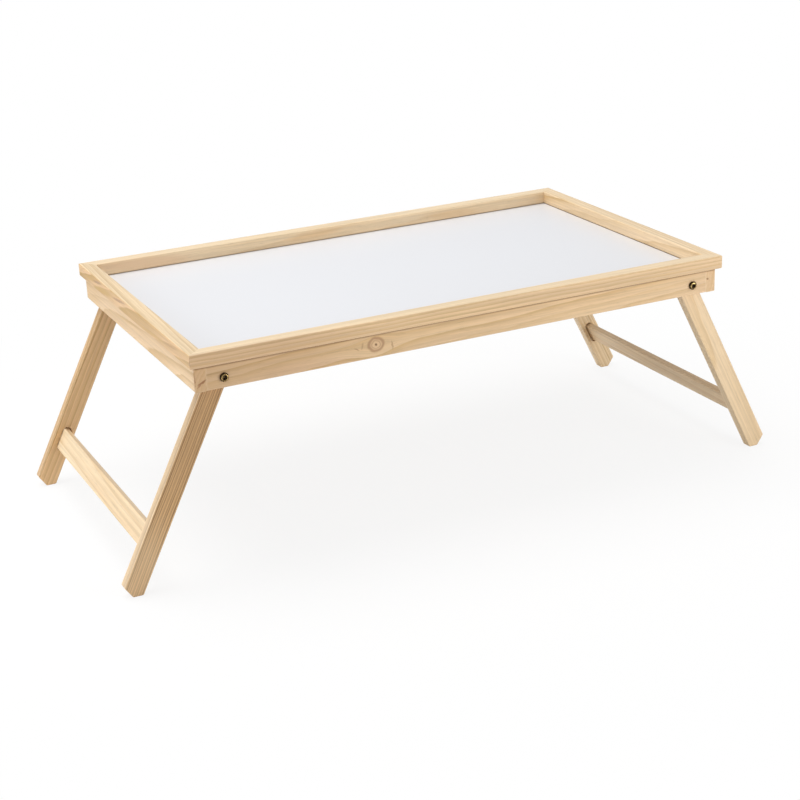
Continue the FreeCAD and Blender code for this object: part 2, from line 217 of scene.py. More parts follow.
class Graph:
    """Adds nodes to a tree, with values or other nodes' outputs as their inputs."""

    def __init__(self, tree):
        self.tree = tree

    def add(self, kind, inputs=None, **settings):
        node = self.tree.nodes.new(kind)
        for name, value in settings.items():
            setattr(node, name, value)
        for key, value in (inputs or {}).items():
            self.feed(node.inputs[key], value)
        return node

    def feed(self, socket, value):
        """Links an output to a socket or sets its value. A colour may come without its alpha."""
        if isinstance(value, bpy.types.NodeSocket):
            self.tree.links.new(value, socket)
        elif socket.type == "RGBA" and len(value) == 3:
            socket.default_value = (*value, 1)
        else:
            socket.default_value = value

    def place(self):
        """The shaded point, in the object's own axes."""
        return self.add("ShaderNodeTexCoord").outputs["Object"]

    def math(self, operation, first, second=0.0):
        return self.add("ShaderNodeMath", {0: first, 1: second}, operation=operation).outputs[0]

    def times(self, first, *others):
        for other in others:
            first = self.math("MULTIPLY", first, other)
        return first

    def plus(self, first, second):
        return self.math("ADD", first, second)

    def minus(self, first, second):
        return self.math("SUBTRACT", first, second)

    def vector(self, operation, first, second=(0.0, 0.0, 0.0)):
        node = self.add("ShaderNodeVectorMath", {0: first, 1: second}, operation=operation)
        return node.outputs["Value" if operation in ("LENGTH", "DOT_PRODUCT") else "Vector"]

    def scaled(self, vector, factor):
        node = self.add("ShaderNodeVectorMath", {0: vector, "Scale": factor}, operation="SCALE")
        return node.outputs["Vector"]

    def parts(self, vector):
        node = self.add("ShaderNodeSeparateXYZ", {0: vector})
        return node.outputs[0], node.outputs[1], node.outputs[2]

    def join(self, x, y, z):
        return self.add("ShaderNodeCombineXYZ", {0: x, 1: y, 2: z}).outputs[0]

    def noise(self, vector, detail=2.0, rough=0.5, output=0):
        """Noise as one value, or with output 1 as three."""
        node = self.add(
            "ShaderNodeTexNoise", {"Vector": vector, "Scale": 1.0, "Detail": detail, "Roughness": rough})
        return node.outputs[output]

    def wobble(self, vector, amount, detail=1.0):
        """A shift that wanders from place to place, up to half an amount each way."""
        noise = self.noise(vector, detail=detail, output=1)
        return self.scaled(self.vector("SUBTRACT", noise, (0.5, 0.5, 0.5)), amount)

    def step(self, value, low, high, bottom=0.0, top=1.0):
        node = self.add(
            "ShaderNodeMapRange",
            {"Value": value, "From Min": low, "From Max": high, "To Min": bottom, "To Max": top},
            interpolation_type="SMOOTHSTEP")
        return node.outputs[0]

    def blend(self, factor, first, second, kind="MIX"):
        """Mixes two colours. 6 and 7 are the node's colour inputs, 2 its colour output."""
        node = self.add(
            "ShaderNodeMix", {0: factor, 6: first, 7: second}, data_type="RGBA", blend_type=kind)
        return node.outputs[2]

    def group(self, tree, inputs):
        return self.add("ShaderNodeGroup", inputs, node_tree=tree).outputs


def new_group(name, inputs, outputs, kind="ShaderNodeTree"):
    """An empty node group whose sockets are named by kind; returns its graph, inputs and results."""
    tree = bpy.data.node_groups.new(name, kind)
    for way, sockets in (("INPUT", inputs), ("OUTPUT", outputs)):
        for socket_kind, names in sockets.items():
            for socket_name in names:
                tree.interface.new_socket(socket_name, in_out=way, socket_type=socket_kind)
    given = tree.nodes.new("NodeGroupInput").outputs
    result = tree.nodes.new("NodeGroupOutput").inputs
    return Graph(tree), given, result


FLOAT = "NodeSocketFloat"
VECTOR = "NodeSocketVector"
COLOUR = "NodeSocketColor"
WHOLE = "NodeSocketInt"
GEOMETRY = "NodeSocketGeometry"
MATERIAL = "NodeSocketMaterial"


@cache
def growth_rings():
    """Yearly rings round a pith line that lies off the board, in the board's own axes.

    X runs along the board. Late is the dark late wood of each year, Year a value per ring."""
    g, given, result = new_group("growth_rings", {
        VECTOR: ("Vector", "Pith", "Lean"), FLOAT: ("Ring Width", "Keenness", "Wander", "Seed")},
        {FLOAT: ("Late", "Year")})
    shift = g.join(given["Seed"], g.times(given["Seed"], 1.7), 0.0)
    slow = g.vector("MULTIPLY", given["Vector"], (9.0, 30.0, 30.0))
    quick = g.vector("MULTIPLY", given["Vector"], (45.0, 220.0, 220.0))
    drift = g.wobble(g.vector("ADD", slow, shift), given["Wander"], detail=2.0)
    ripple = g.wobble(g.vector("ADD", quick, shift), g.times(given["Wander"], 0.16))
    along, _, _ = g.parts(given["Vector"])
    place = g.vector("ADD", given["Vector"], g.vector("ADD", drift, ripple))
    place = g.vector("SUBTRACT", place, given["Pith"])
    place = g.vector("SUBTRACT", place, g.scaled(given["Lean"], along))
    _, across, depth = g.parts(place)
    years = g.math("DIVIDE", g.vector("LENGTH", g.join(0.0, across, depth)), given["Ring Width"])
    uneven = g.noise(g.join(g.times(years, 0.43), given["Seed"], 0.0), detail=1.0)
    years = g.plus(years, g.times(uneven, 1.5))
    part = g.math("FRACT", years)
    rise = g.math("POWER", part, given["Keenness"])
    fall = g.step(part, 0.90, 1.0, 1.0, 0.0)
    number = g.math("FLOOR", years)
    value = g.add("ShaderNodeTexWhiteNoise", {"W": number}, noise_dimensions="1D").outputs[0]
    depth_of_year = g.plus(0.45, g.times(value, 0.75))
    g.feed(result["Late"], g.times(rise, fall, depth_of_year))
    g.feed(result["Year"], value)
    return g.tree


@cache
def wood_fibre():
    """Fibre along X: Streak is broad, Fibre fine, Tone a slow change of shade, Duct the resin dashes."""
    g, given, result = new_group(
        "wood_fibre", {VECTOR: ("Vector",), FLOAT: ("Seed",)},
        {FLOAT: ("Streak", "Fibre", "Tone", "Duct")})
    shift = g.join(g.times(given["Seed"], 3.1), given["Seed"], 0.0)

    def stretched(scale, detail):
        moved = g.vector("ADD", g.vector("MULTIPLY", given["Vector"], scale), shift)
        return g.noise(moved, detail=detail, rough=0.6)

    g.feed(result["Streak"], stretched((7.0, 420.0, 420.0), 3.0))
    g.feed(result["Fibre"], stretched((60.0, 2600.0, 2600.0), 2.0))
    g.feed(result["Tone"], stretched((5.0, 24.0, 24.0), 2.0))
    dashes = stretched((140.0, 1500.0, 1500.0), 0.0)
    g.feed(result["Duct"], g.step(dashes, 0.73, 0.80))
    return g.tree


@cache
def knot_swirl():
    """A round knot: bends the grain round it, and gives its rings, its heart and a halo."""
    g, given, result = new_group(
        "knot_swirl", {VECTOR: ("Vector", "Centre"), FLOAT: ("Radius",)},
        {VECTOR: ("Vector",), FLOAT: ("Rings", "Heart", "Halo")})
    offset = g.vector("SUBTRACT", given["Vector"], given["Centre"])
    offset = g.vector("ADD", offset, g.wobble(g.scaled(given["Vector"], 210.0), 0.0016))
    x, y, _ = g.parts(offset)

    def from_heart(along):
        """Distance from the heart, with the knot drawn out along the board."""
        return g.vector("LENGTH", g.join(g.times(x, along), y, 0.0))

    reach = g.math("DIVIDE", from_heart(0.86), given["Radius"])
    spread_out = g.math("DIVIDE", from_heart(0.55), g.times(given["Radius"], 2.1))
    pinch = g.times(g.math("EXPONENT", g.times(spread_out, spread_out, -1.0)), 0.9)
    along, across, depth = g.parts(given["Vector"])
    _, centre, _ = g.parts(given["Centre"])
    bent = g.plus(centre, g.times(g.minus(across, centre), g.minus(1.0, pinch)))
    inside = g.step(reach, 0.95, 1.12, 1.0, 0.0)
    wave = g.math("SINE", g.times(reach, 13.0))
    ring = g.times(g.step(wave, 0.1, 1.0), inside, 0.7)
    rim = g.times(g.step(reach, 0.62, 0.95), g.step(reach, 1.0, 1.3, 1.0, 0.0))
    g.feed(result["Vector"], g.join(along, bent, depth))
    g.feed(result["Rings"], g.math("MAXIMUM", ring, rim))
    g.feed(result["Heart"], g.step(reach, 0.08, 0.22, 1.0, 0.0))
    g.feed(result["Halo"], inside)
    return g.tree


@cache
def soft_mark():
    """A soft-edged patch: 1 in its middle, 0 outside its half lengths along its own axes."""
    g, given, result = new_group(
        "soft_mark", {VECTOR: ("Vector", "Centre", "Turn", "Half Size")}, {FLOAT: ("Mark",)})
    ragged = g.wobble(g.scaled(given["Vector"], 420.0), 0.0018, detail=2.0)
    mapped = g.add(
        "ShaderNodeMapping",
        {"Vector": g.vector("ADD", given["Vector"], ragged), "Location": given["Centre"],
         "Rotation": given["Turn"], "Scale": given["Half Size"]},
        vector_type="TEXTURE")
    g.feed(result["Mark"], g.step(g.vector("LENGTH", mapped.outputs[0]), 0.35, 1.0, 1.0, 0.0))
    return g.tree


@cache
def eased_edges():
    """A band along the edges of a board of a given half size, 1 on the edge itself."""
    g, given, result = new_group(
        "eased_edges", {VECTOR: ("Vector", "Half Size"), FLOAT: ("Reach",)}, {FLOAT: ("Edge",)})
    ragged = g.noise(g.scaled(given["Vector"], 380.0), detail=2.0)
    ragged = g.times(g.minus(ragged, 0.5), given["Reach"])
    gap = g.vector("SUBTRACT", given["Half Size"], g.vector("ABSOLUTE", given["Vector"]))
    x, y, z = g.parts(gap)
    nearest = g.math("MINIMUM", g.math("MAXIMUM", x, y), g.math("MAXIMUM", y, z))
    nearest = g.math("MINIMUM", nearest, g.math("MAXIMUM", x, z))
    band = g.step(g.plus(nearest, ragged), 0.0, given["Reach"], 1.0, 0.0)
    g.feed(result["Edge"], band)
    return g.tree


@cache
def faces_along():
    """How squarely a face looks along a direction: 1 along it either way, 0 across it."""
    g, given, result = new_group("faces_along", {VECTOR: ("Direction",)}, {FLOAT: ("Share",)})
    normal = g.add("ShaderNodeTexCoord").outputs["Normal"]
    facing = g.math("ABSOLUTE", g.vector("DOT_PRODUCT", normal, given["Direction"]))
    g.feed(result["Share"], g.step(facing, 0.55, 0.92))
    return g.tree


@cache
def zinc_film():
    """The cloudy film on zinc plate: its colour, its roughness and its slight relief."""
    g, given, result = new_group(
        "zinc_film", {VECTOR: ("Vector",), COLOUR: ("Bright", "Dull")},
        {COLOUR: ("Colour",), FLOAT: ("Roughness", "Height")})
    cloud = g.noise(g.scaled(given["Vector"], 450.0), detail=3.0)
    g.feed(result["Colour"], g.blend(g.step(cloud, 0.35, 0.65), given["Bright"], given["Dull"]))
    g.feed(result["Roughness"], g.plus(g.times(cloud, 0.2), 0.26))
    g.feed(result["Height"], cloud)
    return g.tree


def new_material(name):
    """A material with a Principled shader; returns it with its graph and shader node."""
    material = bpy.data.materials.new(name)
    material.use_nodes = True
    tree = material.node_tree
    tree.nodes.clear()
    g = Graph(tree)
    shader = g.add("ShaderNodeBsdfPrincipled")
    output = g.add("ShaderNodeOutputMaterial")
    tree.links.new(shader.outputs[0], output.inputs["Surface"])
    return material, g, shader


def finish(g, shader, inputs, height, relief):
    """Feeds a shader, and gives it the relief of a height map."""
    for name, value in inputs.items():
        g.feed(shader.inputs[name], value)
    bump = g.add("ShaderNodeBump", {"Height": height, "Distance": relief, "Strength": 1.0})
    g.feed(shader.inputs["Normal"], bump.outputs[0])


# ---- Pine boards ----

# How one board was cut and how it looks. The board's own axes are X along the grain,
# Y across its main face and Z out of that face. pith is where the middle of the tree
# lies from the board's middle, lean how far that line leans per metre of board, ring a
# year's width and keen how narrow its late wood is. wander is how far the rings stray
# from round, contrast how strongly the late wood shows, and seed picks the random pattern.
# umber, honey and blush shift the board's tones. side is painted light and shade: how much paler,
# or below 0 darker, the two faces that look along Y are painted, standing in for how the lamps
# fall on them. knot gives a knot's place on the main face and its radius.
Board = namedtuple(
    "Board", "node axes pith ring wander contrast seed lean keen umber honey blush side knot",
    defaults=((0, 0, 0), 2.0, 0.0, 0.0, 0.0, 0.0, None))


def axes_from(grain, face):
    """The turn whose X is the grain and whose Z is the main face's direction."""
    grain = Vector(grain).normalized()
    face = Vector(face).normalized()
    return Matrix((grain, face.cross(grain), face)).transposed()


ALONG_X_FRONT = axes_from((1, 0, 0), (0, -1, 0))
ALONG_X_BACK = axes_from((-1, 0, 0), (0, 1, 0))
ALONG_Y_LEFT = axes_from((0, -1, 0), (-1, 0, 0))
ALONG_Y_RIGHT = axes_from((0, 1, 0), (1, 0, 0))
LEG_SIDE = {"left": -1, "right": 1}


def leg_axes(side, face_y):
    """Along a leg from its foot up, with the wide face to the front or back."""
    sign = LEG_SIDE[side]
    up = (-sign * math.sin(SPLAY), 0, math.cos(SPLAY))
    return axes_from(up, (0, face_y, 0))


def stretcher_axes(side):
    """Along a stretcher, with its wide face away from the tray's middle."""
    sign = LEG_SIDE[side]
    return axes_from((0, sign, 0), (sign * math.cos(SPLAY), 0, math.sin(SPLAY)))


BOARDS = (
    Board("rim_front", ALONG_X_FRONT, pith=(0, 0.055, -0.05), lean=(0, 0.004, 0), ring=0.0026,
          wander=0.0030, contrast=0.56, umber=0.1, honey=0.50, blush=0.18, side=0.7, seed=3.1),
    Board("rim_back", ALONG_X_BACK, pith=(0, -0.016, 0.034), lean=(0, 0, 0.030), ring=0.0030,
          wander=0.0050, contrast=0.16, blush=0.10, side=0.3, seed=7.7),
    Board("rim_left", ALONG_Y_LEFT, pith=(0, -0.010, -0.034), lean=(0, 0, 0.042), ring=0.0032,
          keen=0.9, wander=0.0030, contrast=1.0, umber=0.12, honey=0.95, side=0.8, seed=12.4),
    Board("rim_right", ALONG_Y_RIGHT, pith=(0, -0.012, 0.034), lean=(0, 0, 0.034), ring=0.0036,
          wander=0.0045, contrast=0.65, honey=0.12, blush=0.15, side=0.3, seed=21.9),
    Board("apron_front", ALONG_X_FRONT, pith=(0, -0.020, -0.034), lean=(0, 0.02, 0.016), ring=0.0034,
          wander=0.0045, contrast=0.55, umber=0.1, honey=0.46, blush=0.38, seed=5.3,
          knot=(-0.0893, 0.0009, 0.0057)),
    Board("apron_back", ALONG_X_BACK, pith=(0, 0.020, -0.040), lean=(0, 0.02, 0.016), ring=0.0034,
          wander=0.0050, contrast=0.55, honey=0.35, blush=0.25, seed=15.2,
          knot=(0.131, -0.002, 0.0045)),
    Board("apron_left", ALONG_Y_LEFT, pith=(0, -0.013, -0.032), lean=(0, 0, 0.040), ring=0.0036,
          wander=0.0045, contrast=0.80, umber=0.05, honey=0.55, seed=9.6),
    Board("apron_right", ALONG_Y_RIGHT, pith=(0, 0.010, -0.036), lean=(0, 0, 0.036), ring=0.0034,
          wander=0.0050, contrast=0.70, honey=0.30, blush=0.10, seed=31.4),
    Board("leg_left_front", leg_axes("left", -1), pith=(0, 0.09, -0.02), lean=(0, 0.004, 0),
          ring=0.0020, keen=1.1, wander=0.0022, contrast=1.0, umber=0.95, honey=1.1, blush=0.05,
          side=0.60, seed=2.2),
    Board("leg_left_back", leg_axes("left", 1), pith=(0, -0.07, -0.03), lean=(0, 0.008, 0),
          ring=0.0045, keen=1.5, wander=0.0050, contrast=0.62, umber=0.40, honey=0.85, blush=0.05,
          side=-0.14, seed=18.1),
    Board("leg_right_front", leg_axes("right", -1), pith=(0, 0.01, -0.05), lean=(0, 0, 0.02),
          ring=0.0042, wander=0.0030, contrast=0.34, blush=0.22, side=0.4, seed=25.5),
    Board("leg_right_back", leg_axes("right", 1), pith=(0, 0.08, -0.03), lean=(0, 0.006, 0),
          ring=0.0032, keen=1.8, wander=0.0022, contrast=0.80, umber=0.15, honey=0.20, side=0.4,
          seed=28.3),
    Board("stretcher_left", stretcher_axes("left"), pith=(0, 0.026, -0.040), lean=(0, 0, 0.026),
          ring=0.0036, wander=0.0030, contrast=0.34, honey=0.02, side=-0.12, seed=41.8),
    Board("stretcher_right", stretcher_axes("right"), pith=(0, -0.03, -0.05), lean=(0, 0.02, 0.02),
          ring=0.0030, wander=0.0035, contrast=0.30, umber=0.2, blush=0.12, side=-0.30, seed=45.0),
)

PAST_THE_ENDS = 0.2             # more than half the length of any leg or stretcher


def half_of(board):
    """Half size of a board in its own axes.

    Legs and stretchers get no rubbed edge at their ends, so theirs reaches past the ends."""
    half = Vector([spread(board.node, axis) / 2 for axis in board.axes.col])
    if board.node.startswith(("leg_", "stretcher_")):
        half.x = PAST_THE_ENDS
    return half


# Streaks and patches on single boards, in the board's own axes; a few are painted shade and light.
# seat names the face, end or corner that a mark lies on by the directions it looks in. centre is
# counted from there, half is the mark's half size, and tone names the pine colour.
Mark = namedtuple("Mark", "seat centre half turn tone strength")
MAIN_FACE = (0, 0, 1)
INNER_FACE = (0, 0, -1)
NEAR_END = (-1, 0, 0)
FAR_END = (1, 0, 0)
NEAR_CORNER = (-1, 0, 1)
FAR_CORNER = (1, 0, 1)
SKIN = 0.004                    # how deep a mark on a face reaches into the board


def patch(x, y, along, across, tone, strength, degrees=0.0, seat=MAIN_FACE):
    """A mark of a given half size on a board's main or inner face, turned within that face."""
    return Mark(seat, (x, y, 0), (along, across, SKIN), (0, 0, math.radians(degrees)), tone, strength)


def end_patch(seat, y, z, half, strength, degrees=0.0):
    """A dark mark on a board's end, turned within that end."""
    return Mark(seat, (0, y, z), half, (math.radians(degrees), 0, 0), "knot", strength)


def corner_line(seat, thin, tall, strength, y=0.0):
    """A dark line of a given half size down the corner between a board's main face and its end."""
    return Mark(seat, (0, y, 0), (thin, tall, thin), (0, 0, 0), "knot", strength)


MARKS = {
    "apron_right": (
        end_patch(NEAR_END, 0.0018, -0.0033, (0.005, 0.0010, 0.0018), 0.8, 20),),
    "apron_front": (
        patch(-0.0747, -0.0021, 0.0011, 0.0050, "knot", 0.46, 8),
        patch(-0.1015, 0.0015, 0.0010, 0.0040, "knot", 0.36, -14),
        patch(-0.1064, -0.0003, 0.0008, 0.0034, "knot", 0.48, 60),
        # Painted shade: the left part of the front face is darkened, where less light falls on it.
        patch(-0.235, 0.0, 0.160, 0.030, "knot", 0.23)),
    "rim_left": (
        patch(-0.115, 0.0008, 0.024, 0.0026, "amber", 0.85, 5),
        patch(-0.078, -0.0016, 0.038, 0.0034, "amber", 0.92, 5),
        patch(0.060, -0.0022, 0.042, 0.0022, "amber", 0.70, 3),
        patch(-0.092, 0.0026, 0.018, 0.0016, "knot", 0.60, 7),
        patch(-0.030, 0.0022, 0.026, 0.0016, "knot", 0.60, 6),
        patch(0.105, 0.0008, 0.024, 0.0015, "knot", 0.36, 5),
        corner_line(FAR_CORNER, 0.0009, 0.0060, 0.40)),
    "apron_left": (
        end_patch(FAR_END, -0.0028, -0.0014, (0.006, 0.0013, 0.0056), 0.85, 25),
        end_patch(FAR_END, 0.0, 0.0, (0.008, 0.0300, 0.0140), 0.20),
        end_patch(FAR_END, -0.0055, 0.0015, (0.004, 0.0010, 0.0030), 0.6, 35),
        patch(-0.020, 0.0020, 0.050, 0.0020, "amber", 0.50, 4),
        patch(-0.135, 0.0, 0.050, 0.030, "amber", 0.24),
        corner_line(FAR_CORNER, 0.0012, 0.0105, 0.60, y=-0.0005)),
    "rim_front": (
        corner_line(NEAR_CORNER, 0.0009, 0.0060, 0.40),
        # Painted shade: the left part of the front face is darkened, where less light falls on it.
        patch(-0.235, 0.0, 0.160, 0.030, "knot", 0.22)),
    "leg_left_front": (
        # Painted shade and light: darker in the leg's upper part, under the apron, and paler towards its
        # foot.
        patch(0.075, 0.0, 0.115, 0.030, "umber", 0.20),
        patch(-0.100, 0.0, 0.080, 0.030, "cream", 0.22)),
    "rim_back": (
        patch(0.190, 0.0, 0.060, 0.0080, "blush", 0.65, 3, INNER_FACE),
        patch(0.020, 0.0010, 0.040, 0.0060, "honey", 0.40, -4, INNER_FACE),
        patch(-0.130, -0.0010, 0.045, 0.0060, "honey", 0.35, 4, INNER_FACE)),
}


def pine_colour(g, board, pine, own):
    """The wood's colour at a place in the board's own axes, with what else follows the grain."""
    half = half_of(board)
    grain_place = own
    if board.knot:
        x, y, radius = board.knot
        swirl = g.group(knot_swirl(), {"Vector": own, "Centre": (x, y, 0), "Radius": radius})
        grain_place = swirl["Vector"]
    rings = g.group(growth_rings(), {
        "Vector": grain_place, "Pith": board.pith, "Lean": board.lean,
        "Ring Width": board.ring, "Keenness": board.keen, "Wander": board.wander,
        "Seed": board.seed})
    fibre = g.group(wood_fibre(), {"Vector": grain_place, "Seed": board.seed})
    edges = g.group(eased_edges(), {"Vector": own, "Half Size": half, "Reach": pine.ease})
    ends = g.group(faces_along(), {"Direction": board.axes.col[0]})["Share"]
    sides = g.group(faces_along(), {"Direction": board.axes.col[1]})["Share"]
    # Painted light and shade: the faces that look along Y are painted paler (side above 0) or darker (side
    # below 0), and their late wood calmer where paler.
    painted_side_light = g.times(sides, max(board.side, 0.0))
    shaded = g.times(sides, max(-board.side, 0.0))

    # Early wood, then late wood over it, with painted light and painted shade on the faces that look along
    # Y.
    slow = g.step(fibre["Tone"], 0.32, 0.68, 0.30, 0.0)
    tint = g.blend(slow, mixed(pine.cream, pine.honey, board.honey), pine.honey)
    patches = g.step(fibre["Tone"], 0.38, 0.60, 0.15 * board.blush, min(2 * board.blush, 1.0))
    tint = g.blend(patches, tint, pine.blush)
    tint = g.blend(g.times(rings["Year"], pine.year_change), tint, pine.honey)
    tint = g.blend(painted_side_light, tint, pine.cream)
    late = g.times(rings["Late"], board.contrast)
    calm = g.minus(1.0, g.times(painted_side_light, 0.6))
    tint = g.blend(g.times(late, calm), tint, mixed(pine.amber, pine.umber, board.umber))
    tint = g.blend(shaded, tint, pine.umber)

    # Fibre, resin dashes and end grain.
    streaks = g.step(fibre["Streak"], 0.30, 0.70, 1.05, 0.88)
    fine = g.step(fibre["Fibre"], 0.30, 0.70, 1.03, 0.94)
    shade = g.times(streaks, fine, g.minus(1.0, g.times(ends, pine.end_shade)))
    shade = g.minus(shade, g.times(fibre["Duct"], 0.10))
    tint = g.blend(1.0, tint, g.join(shade, shade, shade), "MULTIPLY")
    tint = g.blend(g.times(ends, pine.end_tint), tint, mixed(pine.honey, pine.blush, 0.6))

    # Knot, rubbed edges, marks (a few of them painted shade and painted light) and the painted shade on the
    # aprons below the rim's overhang.
    if board.knot:
        tint = g.blend(g.times(swirl["Halo"], pine.knot_halo), tint, pine.blush)
        tint = g.blend(g.times(swirl["Rings"], pine.knot_rings), tint, pine.knot)
        tint = g.blend(g.times(swirl["Heart"], pine.knot_heart), tint, pine.umber)
    tint = g.blend(g.times(edges["Edge"], pine.rubbed), tint, pine.cream)
    for mark in MARKS.get(board.node, ()):
        seat = Vector([side * size for side, size in zip(mark.seat, half)])
        spot = g.group(soft_mark(), {
            "Vector": own, "Centre": seat + Vector(mark.centre), "Turn": mark.turn, "Half Size": mark.half})
        tint = g.blend(g.times(spot["Mark"], mark.strength), tint, getattr(pine, mark.tone))
    # Painted shade: a thin dark band along the top of each apron, below the rim's overhang.
    if board.node.startswith("apron_"):
        _, height_on_board, _ = g.parts(own)
        seam = g.step(
            height_on_board, half.y - pine.under_rim_shade_width, half.y - pine.under_rim_shade_width / 3, 0.0, pine.under_rim_shade_depth)
        tint = g.blend(seam, tint, pine.seam)
    return tint, late, fibre, ends


def pine_material(board, pine):
    """Lacquered pine for one board, cut from its own place in the tree."""
    material, g, shader = new_material("pine_" + board.node)
    mapping = g.add(
        "ShaderNodeMapping",
        {"Vector": g.place(), "Location": centre_of(board.node), "Rotation": board.axes.to_euler()},
        vector_type="TEXTURE")
    tint, late, fibre, ends = pine_colour(g, board, pine, mapping.outputs[0])
    rough = g.plus(g.times(fibre["Streak"], 0.16), pine.lacquer_roughness - 0.08)
    height = g.plus(g.plus(late, g.times(fibre["Fibre"], 0.6)), g.times(fibre["Streak"], 0.8))
    finish(g, shader, {
        "Base Color": tint,
        "Roughness": g.plus(rough, g.times(ends, 0.2)),
        "Coat Weight": g.times(g.minus(1.0, ends), pine.lacquer_coat),
        "Coat Roughness": pine.coat_roughness,
        "Specular IOR Level": pine.shine}, height, pine.relief)
    return material


def mixed(first, second, part):
    """A colour part of the way from one to another."""
    return tuple(a + (b - a) * part for a, b in zip(first, second))


def dimmed(colour, part):
    """A colour at a part of its brightness."""
    return tuple(part * channel for channel in colour)


def dress(node, material):
    """Gives a carried-over solid its finish."""
    for place in frame["nodes"][node].material_slots:
        place.material = material


def dress_boards(context, prefix):
    """Finishes the boards whose names start with a prefix."""
    found = [board for board in BOARDS if board.node.startswith(prefix)]
    if not found:
        raise RuntimeError("no board is named " + prefix)
    for board in found:
        dress(board.node, pine_material(board, context.scene.bed_tray_pine))


# ---- Panel ----

def laminate_material(settings):
    """White laminate with the faint unevenness of a pressed skin, and a painted shade line along the rims.
    """
    material, g, shader = new_material("white_laminate")
    place = g.place()
    cloud = g.noise(g.scaled(place, 14.0), detail=3.0)
    grit = g.noise(g.scaled(place, 1500.0), detail=1.0)
    tint = g.blend(g.times(cloud, 0.10), settings.white, dimmed(settings.white, 0.93))
    # Painted shade: a thin dark line on the laminate along the rims, where they meet it.
    x, y, _ = g.parts(g.vector("ABSOLUTE", place))
    to_side = g.minus(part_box("rim_right")[0][0], x)
    to_back = g.minus(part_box("rim_back")[0][1], y)
    nearest = g.math("MINIMUM", to_side, to_back)
    gap = g.step(nearest, 0.0, settings.rim_shade_width, settings.rim_shade_depth, 0.0)
    height = g.plus(g.times(cloud, 0.8), g.times(grit, 0.12))
    finish(g, shader, {
        "Base Color": g.blend(gap, tint, settings.gap),
        "Roughness": g.plus(g.times(cloud, 0.10), settings.roughness - 0.05)}, height, settings.relief)
    return material


def fibreboard_material(settings):
    """Bare pressed fibre on the underside and at the cut edges."""
    material, g, shader = new_material("brown_fibreboard")
    place = g.place()
    speck = g.noise(g.scaled(place, 900.0), detail=4.0, rough=0.7)
    stain = g.noise(g.scaled(place, 25.0), detail=2.0)
    darker = dimmed(settings.brown, 0.62)
    tint = g.blend(g.step(speck, 0.35, 0.65), settings.brown, darker)
    tint = g.blend(g.times(stain, 0.25), tint, darker)
    finish(g, shader, {"Base Color": tint, "Roughness": 0.75}, speck, 2 * settings.relief)
    return material


def mesh_object(name, mesh):
    made = bpy.data.objects.new(name, mesh)
    bpy.context.scene.collection.objects.link(made)
    return made


def mesh_from(name, shape):
    """A mesh with its faces turned outwards, from a working shape that is given up."""
    bmesh.ops.recalc_face_normals(shape, faces=shape.faces)
    mesh = bpy.data.meshes.new(name)
    shape.to_mesh(mesh)
    shape.free()
    return mesh


def box_mesh(name, low, high):
    shape = bmesh.new()
    bmesh.ops.create_cube(shape, size=1.0)
    middle = (Vector(low) + Vector(high)) / 2
    size = Vector(high) - Vector(low)
    for vertex in shape.verts:
        vertex.co = middle + vertex.co * size
    return mesh_from(name, shape)


def bevelled(made, width):
    modifier = made.modifiers.new("rounded_edges", "BEVEL")
    modifier.width = width
    modifier.segments = 3
    modifier.harden_normals = True


# ---- Pivot hardware ----

METAL_RELIEF = 0.00001
DOWEL_RELIEF = 0.00005


def from_pivot(g):
    """Distance from the nearest pivot's axis."""
    axis = (RIGHT_PIVOT.x, 0, RIGHT_PIVOT.z)
    x, _, z = g.parts(g.vector("SUBTRACT", g.vector("ABSOLUTE", g.place()), axis))
    return g.vector("LENGTH", g.join(x, 0.0, z))


# Radii between which the head's painted glint ring comes and goes.
GLINT_RING_IN = (0.0019, 0.0024)
GLINT_RING_OUT = (0.0028, 0.0033)


def brass_material(settings):
    """Brass painted dark for the dark reflections on the heads, with painted glints of bright brass in a
    ring round the crown and on stray spots.
    """
    material, g, shader = new_material("dark_brass")
    place = g.place()
    radius = from_pivot(g)
    smear = g.noise(g.scaled(place, 900.0), detail=3.0)
    fine = g.noise(g.scaled(place, 6000.0), detail=1.0)
    ring = g.times(g.step(radius, *GLINT_RING_IN), g.step(radius, *GLINT_RING_OUT, 1.0, 0.0))
    painted_glint_ring = g.times(ring, g.step(smear, 0.40, 0.52))
    painted_glint_spots = g.step(smear, 0.60, 0.70)
    painted_glints = g.math("MAXIMUM", painted_glint_ring, painted_glint_spots)
    finish(g, shader, {
        "Base Color": g.blend(painted_glints, settings.painted_dark_reflection, settings.brass),
        "Metallic": 1.0,
        "Roughness": g.minus(0.34, g.times(painted_glints, 0.16))}, fine, METAL_RELIEF)
    return material


def zinc_plated(g, settings):
    """Colour, roughness and height of the zinc film at this place."""
    return g.group(zinc_film(), {
        "Vector": g.place(), "Bright": settings.zinc, "Dull": dimmed(settings.zinc, 0.8)})


def zinc_material(settings):
    """Bright zinc plate."""
    material, g, shader = new_material("zinc_plate")
    film = zinc_plated(g, settings)
    finish(g, shader, {
        "Base Color": film["Colour"],
        "Metallic": 1.0,
        "Roughness": film["Roughness"]}, film["Height"], METAL_RELIEF)
    return material


def lock_nut_material(settings):
    """Zinc plate with the nylon ring inside the collar."""
    material, g, shader = new_material("lock_nut")
    film = zinc_plated(g, settings)
    ring = settings.collar_radius - settings.collar_lip
    nylon = g.step(from_pivot(g), ring - 0.0001, ring, 1.0, 0.0)
    finish(g, shader, {
        "Base Color": g.blend(nylon, film["Colour"], settings.nylon),
        "Metallic": g.minus(1.0, nylon),
        "Roughness": film["Roughness"]}, film["Height"], METAL_RELIEF)
    return material


